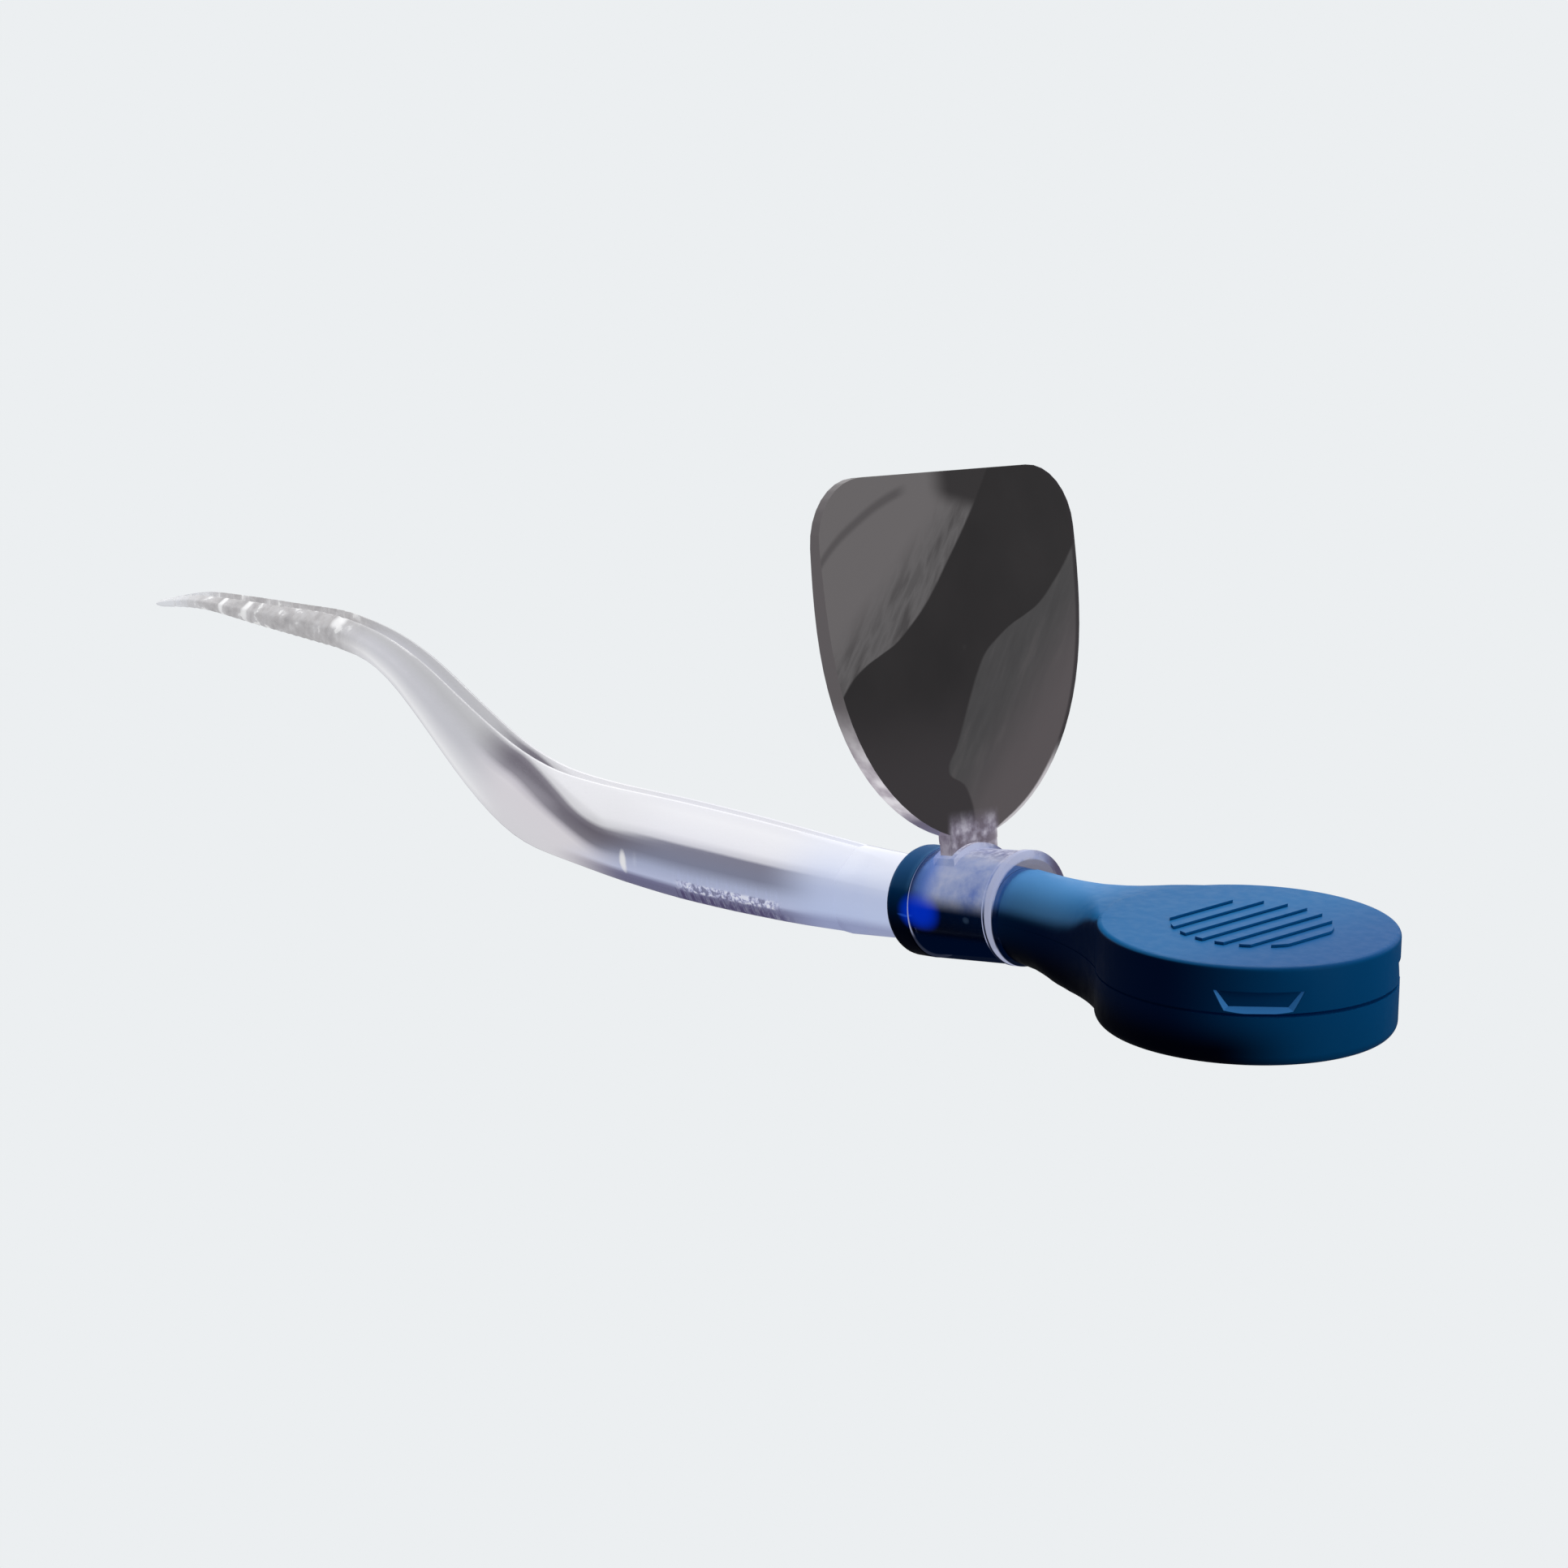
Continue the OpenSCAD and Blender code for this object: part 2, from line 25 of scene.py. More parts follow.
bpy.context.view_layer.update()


# ---------------------------------------------------------------- node helpers
class Net:
    """Small builder for one shader tree."""

    def __init__(self, tree):
        self.t = tree
        self.t.nodes.clear()

    def node(self, kind, **props):
        n = self.t.nodes.new(kind)
        for k, v in props.items():
            setattr(n, k, v)
        return n

    def put(self, socket, value):
        if isinstance(value, bpy.types.NodeSocket):
            self.t.links.new(value, socket)
        elif value is not None:
            if hasattr(socket.default_value, "__len__") and not hasattr(value, "__len__"):
                value = [value] * len(socket.default_value)
            if hasattr(value, "__len__") and len(socket.default_value) == 4 and len(value) == 3:
                value = list(value) + [1.0]
            socket.default_value = value

    def math(self, op, a, b=None, clamp=False):
        n = self.node("ShaderNodeMath", operation=op, use_clamp=clamp)
        self.put(n.inputs[0], a)
        if b is not None:
            self.put(n.inputs[1], b)
        return n.outputs[0]

    def add(self, a, b):
        return self.math("ADD", a, b)

    def mul(self, a, b):
        return self.math("MULTIPLY", a, b)

    def ramp(self, value, stops, interp="LINEAR"):
        n = self.node("ShaderNodeValToRGB")
        n.color_ramp.interpolation = interp
        e = n.color_ramp.elements
        while len(e) < len(stops):
            e.new(0.5)
        for i, (p, c) in enumerate(stops):
            if not hasattr(c, "__len__"):
                c = (c, c, c)
            e[i].position = p
            e[i].color = (*c[:3], 1.0)
        self.put(n.inputs[0], value)
        return n.outputs[0]

    def span(self, value, a, b, c=0.0, d=1.0, smooth=True):
        n = self.node("ShaderNodeMapRange")
        n.interpolation_type = "SMOOTHSTEP" if smooth else "LINEAR"
        for k, v in zip(("Value", "From Min", "From Max", "To Min", "To Max"), (value, a, b, c, d)):
            self.put(n.inputs[k], v)
        return n.outputs["Result"]

    def mix(self, f, a, b, mode="MIX"):
        n = self.node("ShaderNodeMix", data_type="RGBA", blend_type=mode)
        self.put(n.inputs["Factor"], f)
        self.put(n.inputs[6], a)
        self.put(n.inputs[7], b)
        return n.outputs[2]

    def coords(self):
        if not hasattr(self, "_xyz"):
            c = self.node("ShaderNodeTexCoord")
            s = self.node("ShaderNodeSeparateXYZ")
            self.put(s.inputs[0], c.outputs["Object"])
            self._pos = c.outputs["Object"]
            self._xyz = s.outputs
        return self._xyz

    def pos(self):
        self.coords()
        return self._pos

    def normal(self):
        if not hasattr(self, "_n"):
            g = self.node("ShaderNodeNewGeometry")
            s = self.node("ShaderNodeSeparateXYZ")
            self.put(s.inputs[0], g.outputs["Normal"])
            self._n = s.outputs
        return self._n

    def noise(self, scale, detail=3.0, rough=0.5, stretch=None, out="Fac"):
        n = self.node("ShaderNodeTexNoise")
        src = self.pos()
        if stretch:
            m = self.node("ShaderNodeMapping")
            self.put(m.inputs["Vector"], src)
            m.inputs["Scale"].default_value = stretch
            src = m.outputs[0]
        self.put(n.inputs["Vector"], src)
        self.put(n.inputs["Scale"], scale)
        self.put(n.inputs["Detail"], detail)
        self.put(n.inputs["Roughness"], rough)
        return n.outputs[out]

    def blob(self, centre, size):
        """1 at the centre, 0 at an ellipsoid of half-axes size; in metres."""
        x, y, z = self.coords()[:3]
        total = None
        for s, c, h in zip((x, y, z), centre, size):
            q = self.mul(self.add(s, -c), 1.0 / h)
            q = self.mul(q, q)
            total = q if total is None else self.add(total, q)
        return self.span(total, 1.0, 0.0)

    def bump(self, height, strength=0.2, distance=0.0002, normal=None):
        n = self.node("ShaderNodeBump")
        self.put(n.inputs["Height"], height)
        self.put(n.inputs["Strength"], strength)
        self.put(n.inputs["Distance"], distance)
        if normal is not None:
            self.put(n.inputs["Normal"], normal)
        return n.outputs[0]

    def principled(self, **kw):
        n = self.node("ShaderNodeBsdfPrincipled")
        for k, v in kw.items():
            self.put(n.inputs[k.replace("_", " ")], v)
        return n.outputs[0]

    def mix_shader(self, f, a, b):
        n = self.node("ShaderNodeMixShader")
        self.put(n.inputs[0], f)
        self.t.links.new(a, n.inputs[1])
        self.t.links.new(b, n.inputs[2])
        return n.outputs[0]

    def emission(self, color, strength=1.0):
        n = self.node("ShaderNodeEmission")
        self.put(n.inputs[0], color)
        self.put(n.inputs[1], strength)
        return n.outputs[0]

    def out(self, shader):
        o = self.node("ShaderNodeOutputMaterial")
        self.t.links.new(shader, o.inputs[0])


def srgb(r, g, b):
    f = lambda c: c / 12.92 if c <= 0.04045 else ((c + 0.055) / 1.055) ** 2.4
    return (f(r / 255), f(g / 255), f(b / 255))


def material(name):
    m = bpy.data.materials.new(name)
    m.use_nodes = True
    return m, Net(m.node_tree)


# ---------------------------------------------------------------- materials
def curve_of(n, value, points, lo, hi):
    """Piecewise smooth curve through (0..1, value) points; returns a value between lo and hi."""
    c = n.node("ShaderNodeFloatCurve")
    cu = c.mapping.curves[0]
    pts = sorted(points)
    while len(cu.points) < len(pts):
        cu.points.new(0.5, 0.5)
    for i, (a, b) in enumerate(pts):
        cu.points[i].location = (a, (b - lo) / (hi - lo))
        cu.points[i].handle_type = "AUTO_CLAMPED"
    c.mapping.use_clip = False
    c.mapping.update()
    n.put(c.inputs["Value"], value)
    return n.span(c.outputs[0], 0, 1, lo, hi, smooth=False)


def along(n, origin, axis):
    """Distance of the shaded point along an axis, in metres."""
    a = n.node("ShaderNodeVectorMath", operation="SUBTRACT")
    n.put(a.inputs[0], n.pos())
    a.inputs[1].default_value = origin
    d = n.node("ShaderNodeVectorMath", operation="DOT_PRODUCT")
    n.put(d.inputs[0], a.outputs[0])
    d.inputs[1].default_value = axis
    return d.outputs["Value"]


NECK_AT = (-0.025, 0.0, 0.00433)
NECK_DIR = (-0.995562, 0.0, -0.094108)
NECK_UP = (-0.094108, 0.0, 0.995562)


def shell_blue():
    m, n = material("shell_blue")
    x, y, z = n.coords()[:3]
    nx, ny, nz = n.normal()[:3]
    grain = n.noise(2600, 4, 0.6)
    cloud = n.noise(90, 3, 0.55)
    base = n.mix(cloud, srgb(2, 76, 126), srgb(8, 83, 131))
    # painted light across the top: darker towards +x, with a paler painted sheen over the neck top
    base = n.mix(n.span(x, -0.004, 0.012), base, srgb(0, 64, 114))
    base = n.mix(n.span(x, -0.011, -0.021), base, srgb(66, 120, 170))
    # painted shade: faces turned sideways take a dark copy of the blue, lighter towards +x; only upward faces keep
    # the lit colour
    painted_side_shade = n.mix(n.span(x, 0.001, 0.0128), srgb(0, 11, 38), srgb(0, 66, 112))
    painted_side_shade = n.mix(n.span(x, -0.0262, -0.019), srgb(0, 26, 52), painted_side_shade)
    # darkest along the lower front, where nothing lights it
    painted_side_shade = n.mix(n.mul(n.span(z, 0.0044, 0.0012), n.span(x, 0.0125, 0.0060)), painted_side_shade, srgb(0, 3, 12))
    low_nz = n.span(x, -0.016, -0.010, 0.16, 0.30)
    upper = n.mul(n.span(nz, low_nz, n.add(low_nz, 0.34)), n.span(z, 0.0046, 0.0056))
    base = n.mix(upper, painted_side_shade, base)
    # grip ribs stand out only softly
    rib = n.mul(n.span(z, 0.00882, 0.00886), n.span(nz, 0.8, 0.4))
    base = n.mix(rib, base, srgb(10, 78, 130))
    # bevelled edges of the thumb-nail recess catch the light
    r = n.math("SQRT", n.add(n.mul(x, x), n.mul(y, y)))
    out = n.math("DIVIDE", n.add(n.mul(nx, x), n.mul(ny, y)), r)
    bevel = n.mul(n.mul(n.span(r, 0.01298, 0.01292), n.span(out, 0.97, 0.93)), n.mul(n.span(x, 0.003, 0.004), n.span(z, 0.0044, 0.0045)))
    bevel = n.mul(bevel, n.span(z, 0.0082, 0.0078))
    base = n.mix(bevel, base, srgb(52, 112, 168))
    # teal nose in front of the collar, with painted shade darkening its underside
    front = n.span(along(n, NECK_AT, NECK_DIR), 0.0098, 0.0112)
    up = n.span(along(n, NECK_AT, NECK_UP), -0.002, 0.0045)
    base = n.mix(n.mul(front, 0.85), base, n.mix(up, srgb(0, 8, 28), srgb(0, 66, 118)))
    # painted light: the LED's glow through the blue plastic, a painted glint and a painted highlight streak
    painted_led_glow = n.blob((-0.0342, -0.0048, 0.0036), (0.0026, 0.0040, 0.0021))
    painted_glint = n.blob((-0.0289, -0.0050, 0.0038), (0.0005, 0.003, 0.0004))
    streak = n.blob((-0.0358, -0.005, 0.0030), (0.0009, 0.004, 0.00016))
    grit = n.noise(900, 2)
    base = n.mix(painted_led_glow, base, srgb(0, 40, 160))
    base = n.mix(n.mul(painted_glint, 0.5), base, srgb(110, 140, 160))
    rough = n.span(grit, 0.3, 0.7, 0.38, 0.48)
    b = n.bump(grain, 0.08, 0.00006)
    # emission paints light: a faint blue on side faces, darker towards the bottom, plus the LED glow, streak and
    # bevel highlights
    dim = n.mix(n.span(z, 0.0012, 0.0046), srgb(0, 0, 4), srgb(0, 6, 24))
    painted_glow = n.mix(upper, dim, (0, 0, 0))
    painted_glow = n.mix(painted_led_glow, painted_glow, srgb(0, 44, 175))
    painted_glow = n.mix(n.mul(streak, 0.35), painted_glow, srgb(50, 105, 225))
    painted_glow = n.mix(n.mul(bevel, 0.35), painted_glow, srgb(40, 100, 160))
    spec = n.mul(n.span(upper, 0, 1, 0.02, 0.06), n.span(front, 0, 1, 1.0, 0.5))
    n.out(n.principled(Base_Color=base, Roughness=rough, IOR=1.48, Normal=b, Specular_IOR_Level=spec,
                       Emission_Color=painted_glow, Emission_Strength=0.8))
    return m


def clear_guide():
    m, n = material("clear_guide")
    x, y, z = n.coords()[:3]
    # side-view edges of the arms along their length, in millimetres
    x0, x1 = -0.149, -0.036
    xn = n.span(x, x0, x1, 0, 1, smooth=False)
    top = [(-149, 13.0), (-146, 13.9), (-143, 14.7), (-134, 15.4), (-126, 15.9), (-121, 16.2), (-116, 15.8), (-111, 15.0),
           (-106, 13.4), (-101, 11.0), (-96, 8.7), (-91.5, 7.1), (-86.5, 6.1), (-80, 5.9), (-70, 6.3), (-60, 6.5), (-46, 6.5), (-36, 6.6)]
    low = [(-149, 12.4), (-143, 13.3), (-131, 13.3), (-116, 12.9), (-111, 11.3), (-106, 8.0), (-101, 4.1), (-96, 0.8),
           (-91, -1.3), (-88.5, -1.8), (-83, -2.2), (-76, -2.6), (-68, -2.7), (-60, -2.4), (-52, -1.9), (-46, -1.3), (-36, -0.5)]
    f = lambda v: (v * 0.001 - x0) / (x1 - x0)
    zt = curve_of(n, xn, [(f(a), b * 0.001) for a, b in top], -0.004, 0.018)
    zb = curve_of(n, xn, [(f(a), b * 0.001) for a, b in low], -0.004, 0.018)
    wave = n.noise(150, 3, 0.5, stretch=(0.25, 1, 1))
    zs = n.add(z, n.mul(n.math("ABSOLUTE", y), -0.335))
    s = n.math("DIVIDE", n.add(zs, n.mul(zb, -1.0)), n.add(zt, n.mul(zb, -1.0)))
    s = n.add(s, n.mul(n.add(wave, -0.5), 0.05))
    fine = n.noise(1700, 3, 0.65)
    grain = n.noise(620, 3, 0.6)
    # handle-side stretch: bright upper band, sharp edge, grey-blue middle, pale lower band. These bands, and those of
    # the bend and diagonal, are painted light: the pale bands paint glow and reflection in the clear arms, the grey
    # ones refraction shade
    straight = n.ramp(s, [
        (0.0, srgb(84, 78, 112)), (0.035, srgb(100, 96, 130)), (0.085, srgb(190, 197, 226)), (0.20, srgb(176, 184, 212)),
        (0.33, srgb(130, 134, 156)), (0.505, srgb(134, 134, 152)), (0.535, srgb(222, 222, 231)), (0.62, srgb(240, 240, 246)),
        (0.86, srgb(244, 244, 248)), (1.0, srgb(232, 232, 238))])
    sb = n.add(s, n.span(x, -0.0765, -0.0920, 0.0, -0.46))
    sb = n.add(n.mul(sb, 0.7), 0.3)
    q = lambda v: v * 0.7 + 0.3
    bend = n.ramp(sb, [
        (q(-0.40), srgb(226, 224, 228)), (q(0.10), srgb(226, 222, 227)), (q(0.18), srgb(196, 192, 200)),
        (q(0.25), srgb(122, 118, 128)), (q(0.40), srgb(106, 101, 112)), (q(0.46), srgb(126, 122, 132)), (q(0.51), srgb(224, 224, 228)), (q(0.6), srgb(236, 236, 240)), (q(1.0), srgb(236, 236, 240))])
    diag = n.ramp(s, [
        (0.0, srgb(232, 232, 236)), (0.10, srgb(246, 246, 248)), (0.24, srgb(228, 228, 232)), (0.45, srgb(208, 208, 214)),
        (0.62, srgb(196, 196, 202)), (0.82, srgb(188, 188, 191)), (1.0, srgb(200, 200, 203))])
    # rough tip: grain of its surface, with painted glints at the bright end
    rough_tip = n.ramp(grain, [(0.30, srgb(168, 166, 168)), (0.48, srgb(188, 186, 187)), (0.60, srgb(200, 199, 201)), (0.66, srgb(244, 244, 244))])
    col = n.mix(n.span(x, -0.0915, -0.0985), bend, diag)
    lean = n.span(s, 0.0, 0.42, 0.0075, 0.0, smooth=False)
    col = n.mix(n.span(n.add(x, lean), -0.067, -0.0785), straight, col)
    col = n.mix(n.span(x, -0.112, -0.120), col, rough_tip)
    tip_end = n.span(x, -0.139, -0.146)
    col = n.mix(tip_end, col, srgb(226, 227, 229))
    # painted glow of the LED in the arms near the hub
    hub = n.span(x, -0.056, -0.047)
    painted_hub_glow = n.ramp(s, [(0.0, srgb(150, 158, 196)), (0.12, srgb(190, 203, 236)), (0.4, srgb(196, 207, 238)), (0.7, srgb(226, 232, 250)), (1.0, srgb(240, 242, 252))])
    col = n.mix(n.mul(hub, 0.9), col, painted_hub_glow)
    # speckled ridge strip: painted glints and shade on the grip ridges
    strip = n.mul(n.mul(n.span(x, -0.0670, -0.0655), n.span(x, -0.0525, -0.0542)), n.mul(n.span(s, 0.15, 0.11), n.span(s, 0.02, 0.05)))
    speck = n.ramp(fine, [(0.42, srgb(92, 88, 122)), (0.5, srgb(180, 182, 216)), (0.58, srgb(244, 246, 255))])
    col = n.mix(n.mul(strip, 0.8), col, speck)
    # painted glints, the last a bright vertical glint on the arm
    g = None
    for c, h in (((-0.1185, -0.002, 0.0158), (0.0011, 0.004, 0.0007)), ((-0.1330, -0.002, 0.0150), (0.0006, 0.004, 0.0022)),
                 ((-0.1370, -0.002, 0.0148), (0.0005, 0.004, 0.0016)), ((-0.0742, -0.0035, 0.0000), (0.0006, 0.004, 0.0014))):
        q = n.blob(c, h)
        g = q if g is None else n.math("MAXIMUM", g, q)
    col = n.mix(g, col, srgb(252, 252, 253))
    # painted shade: clear edges draw as thin darker lines where they turn away, standing in for refraction
    lw = n.node("ShaderNodeLayerWeight")
    lw.inputs["Blend"].default_value = 0.5
    rim = n.span(lw.outputs["Facing"], 0.86, 0.99)
    col = n.mix(n.mul(rim, 0.6), col, srgb(128, 126, 138))
    b = n.bump(n.add(n.mul(wave, 0.7), n.mul(fine, 0.3)), 0.18, 0.0003)
    # emission paints the arms' glow and their painted bands of light and shade
    body = n.principled(Base_Color=n.mix(0.80, col, (0, 0, 0)), Roughness=0.22, IOR=1.45, Normal=b, Specular_IOR_Level=0.12,
                        Emission_Color=col, Emission_Strength=0.80)
    glass = n.principled(Base_Color=srgb(240, 242, 250), Roughness=n.span(x, -0.11, -0.125, 0.04, 0.18), IOR=1.45,
                         Transmission_Weight=1.0, Normal=b)
    share = n.span(tip_end, 0, 1, 0.80, 0.45)
    n.out(n.mix_shader(share, glass, body))
    return m


def clear_collar():
    m, n = material("clear_collar")
    cloud = n.noise(330, 4, 0.6)
    fine = n.noise(1500, 3, 0.6)
    d = along(n, NECK_AT, NECK_DIR)
    h = along(n, NECK_AT, NECK_UP)
    y = n.coords()[1]
    nx, ny, nz = n.normal()[:3]
    b = n.bump(n.add(n.mul(cloud, 0.7), n.mul(fine, 0.3)), 0.2, 0.0003)
    milk_and_painted_shade = n.ramp(cloud, [(0.3, srgb(104, 122, 178)), (0.5, srgb(150, 160, 194)), (0.68, srgb(176, 180, 202))])
    milk_and_painted_shade = n.mix(n.span(d, 0.0066, 0.0092), milk_and_painted_shade, srgb(92, 120, 190))
    # boss above the collar: grey with near-white painted glints
    milk_and_painted_shade = n.mix(n.span(h, 0.0048, 0.0062), milk_and_painted_shade, n.ramp(fine, [(0.35, srgb(110, 100, 112)), (0.5, srgb(158, 152, 168)), (0.66, srgb(222, 220, 230))]))
    # darker towards the far side (+y)
    milk_and_painted_shade = n.mix(n.span(y, 0.0012, 0.0040), milk_and_painted_shade, srgb(78, 72, 96))
    # rear face: clear round the neck, pale only along its outer edge
    back = n.span(nx, 0.8, 0.95)
    rad = n.math("SQRT", n.add(n.mul(y, y), n.mul(n.add(h, -0.0002), n.add(h, -0.0002))))
    rim = n.math("MAXIMUM", n.mul(n.span(d, 0.00085, 0.0007), n.span(back, 1, 0)), n.mul(back, n.span(rad, 0.00485, 0.00505)))
    bore = n.add(n.mul(d, 0.062), 0.00412)
    outer = n.span(n.add(rad, n.mul(bore, -1.0)), 0.00010, 0.00022)
    rim = n.mul(n.mul(rim, outer), n.span(y, 0.0020, 0.0002))
    # painted shade: the collar's underside goes dark navy
    under = n.span(h, -0.0015, -0.0025)
    dark = n.span(h, 0.0002, -0.0008)
    milk_and_painted_shade = n.mix(dark, milk_and_painted_shade, srgb(0, 10, 34))
    milk_and_painted_shade = n.mix(rim, milk_and_painted_shade, srgb(172, 178, 206))
    # emission paints the collar's tones, its painted shade included
    haze = n.principled(Base_Color=n.mix(0.7, milk_and_painted_shade, (0, 0, 0)), Roughness=n.span(dark, 0, 1, 0.28, 0.5), IOR=1.45, Normal=b,
                        Specular_IOR_Level=n.span(dark, 0, 1, 0.12, 0.0),
                        Emission_Color=milk_and_painted_shade, Emission_Strength=0.86)
    clear = n.node("ShaderNodeBsdfTransparent")
    clear.inputs[0].default_value = (0.93, 0.94, 0.99, 1)
    gloss = n.node("ShaderNodeBsdfGlossy")
    gloss.inputs["Roughness"].default_value = 0.15
    gloss.inputs["Color"].default_value = (0.5, 0.6, 0.9, 1)
    n.t.links.new(b, gloss.inputs["Normal"])
    fres = n.node("ShaderNodeFresnel")
    fres.inputs[0].default_value = 1.3
    thin = n.mix_shader(n.mul(n.mul(fres.outputs[0], 0.08), n.span(d, 0.01022, 0.01012)), clear.outputs[0], gloss.outputs[0])
    cover = n.span(h, 0.0004, 0.0024, 0.0, 0.80)
    cover = n.mul(cover, n.span(d, 0.0104, 0.0078, 0.25, 1.0))
    cover = n.mul(n.mul(cover, outer), n.span(d, 0.01022, 0.01012))
    cover = n.math("MAXIMUM", cover, n.mul(n.mul(back, outer), n.mul(n.span(y, 0.0006, 0.0022), n.span(h, 0.001, 0.003, 0.0, 0.9))))
    cover = n.mul(cover, n.span(n.mul(back, n.span(rad, 0.0049, 0.0047)), 0, 1, 1.0, 0.08))
    cover = n.math("MAXIMUM", cover, n.mul(under, 0.93))
    cover = n.math("MAXIMUM", cover, n.mul(rim, 0.80))
    n.out(n.mix_shader(cover, thin, haze))
    return m


PANE_FOOT = (-0.0318, 0.0, 0.00305)
PANE_W = (0.0, 0.99756, -0.06976)
PANE_H = (-0.19937, 0.06836, 0.97754)
PANE_N = (0.97992, 0.01391, 0.19888)
# half width of the pane at heights over its foot, mm
PANE_HALF = [(39.7, 12.33), (38.5, 14.59), (36.5, 16.15), (34.0, 16.70), (28.6, 16.61), (24.5, 16.22), (20.4, 15.32), (17.1, 14.05), (14.4, 12.47), (12.2, 10.70), (10.3, 8.62), (9.0, 6.64), (7.9, 4.48)]


def smoke_pane():
    m, n = material("smoke_pane")
    w = n.mul(along(n, PANE_FOOT, PANE_W), 1000.0)
    h = n.mul(along(n, PANE_FOOT, PANE_H), 1000.0)
    hn = n.span(h, 5.0, 42.0, 0, 1, smooth=False)
    k = lambda v: (v - 5.0) / 37.0
    # edges of the broad dark S-band between the two paler lobes. The pane is clear: the band paints dark surroundings
    # seen through it, the lobes are painted reflections
    left = curve_of(n, hn, [(k(42), 7.0), (k(37.0), 3.3), (k(34.5), 1.2), (k(31.7), -1.3), (k(29.4), -3.3), (k(27.8), -4.9), (k(26.5), -6.5),
                            (k(25.0), -8.6), (k(24.2), -10.4), (k(23.2), -12.6), (k(21.9), -14.4), (k(19), -16.5), (k(5), -20)], -22, 22)
    rightc = curve_of(n, hn, [(k(42), 20), (k(34), 17.5), (k(30.9), 15.0), (k(29.0), 12.9), (k(27.2), 10.5), (k(26.3), 8.4), (k(25.6), 6.5), (k(24.6), 4.6),
                              (k(23.3), 2.7), (k(21.7), 1.5), (k(20.1), 0.6), (k(17.8), -0.55), (k(15.4), -1.75), (k(13.2), -3.0), (k(11.5), -0.9), (k(5), 0.6)], -22, 22)
    a = n.span(n.add(w, n.mul(left, -1.0)), 0.12, -0.25)
    c = n.span(n.add(w, n.mul(rightc, -1.0)), -0.15, 0.3)
    cloud = n.noise(120, 3, 0.5)
    # painted reflection streaks running down to the left
    rot = n.node("ShaderNodeCombineXYZ")
    n.put(rot.inputs[0], n.add(n.mul(w, 0.82), n.mul(h, -0.57)))
    n.put(rot.inputs[1], n.add(n.mul(w, 0.10), n.mul(h, 0.16)))
    st = n.node("ShaderNodeTexNoise")
    n.put(st.inputs["Vector"], rot.outputs[0])
    st.inputs["Scale"].default_value = 0.75
    st.inputs["Detail"].default_value = 5
    streak = st.outputs["Fac"]
    dark = n.mix(cloud, srgb(38, 37, 38), srgb(50, 48, 49))
    dark = n.mix(n.span(h, 22, 12), dark, srgb(56, 53, 55))
    lobe1 = n.ramp(streak, [(0.36, srgb(72, 70, 71)), (0.46, srgb(86, 84, 85)), (0.54, srgb(94, 92, 93)), (0.64, srgb(84, 82, 83))])
    lobe1 = n.mix(n.span(n.add(h, n.mul(w, -0.8)), 34.5, 39.5), lobe1, srgb(101, 98, 99))
    lobe2 = n.ramp(streak, [(0.34, srgb(66, 65, 66)), (0.52, srgb(70, 69, 70)), (0.68, srgb(77, 75, 76))])
    lobe2 = n.mix(n.span(n.add(h, n.mul(w, -0.9)), 16, 6), lobe2, srgb(85, 80, 82))
    # darker patch in the painted reflection along the top edge
    notch = n.mul(n.span(n.add(h, n.mul(w, 0.25)), 36.2, 38.2), n.span(w, -3.2, 0.2))
    lobe1 = n.mix(notch, lobe1, srgb(52, 50, 51))
    col = n.mix(a, dark, lobe1)
    col = n.mix(c, col, lobe2)
    # rim: painted highlights and shade on the edge faces
    face = n.node("ShaderNodeVectorMath", operation="DOT_PRODUCT")
    geo = n.node("ShaderNodeNewGeometry")
    n.put(face.inputs[0], geo.outputs["Normal"])
    face.inputs[1].default_value = PANE_N
    on_edge = n.span(n.math("ABSOLUTE", face.outputs["Value"]), 0.8, 0.5)
    low = n.span(h, 21, 12)
    leftish = n.span(w, 1.0, -3.0)
    edge = n.mix(n.mul(low, leftish), srgb(96, 92, 94), n.ramp(n.noise(500, 3), [(0.35, srgb(176, 168, 178)), (0.6, srgb(226, 222, 228))]))
    edge = n.mix(n.mul(low, n.span(w, -1.0, 3.0)), edge, srgb(150, 146, 150))
    edge = n.mix(n.span(h, 10.2, 8.8), edge, srgb(112, 104, 120))
    edge = n.mix(n.span(n.mul(along(n, PANE_FOOT, PANE_N), 1000.0), -0.7, -1.1), edge, srgb(74, 70, 74))
    col = n.mix(on_edge, col, edge)
    # thin dark outline and pale lower-right lip just inside the border
    half = [(k(v), wd) for v, wd in PANE_HALF]
    gap = n.add(curve_of(n, hn, half, 0, 22), n.mul(n.math("ABSOLUTE", w), -1.0))
    near = n.mul(n.span(gap, 0.75, 0.35), n.span(on_edge, 1, 0))
    col = n.mix(n.mul(n.mul(near, n.span(w, 1.5, 3.0)), 0.75), col, n.mix(n.span(h, 15, 11.5), srgb(46, 43, 46), srgb(206, 202, 206)))
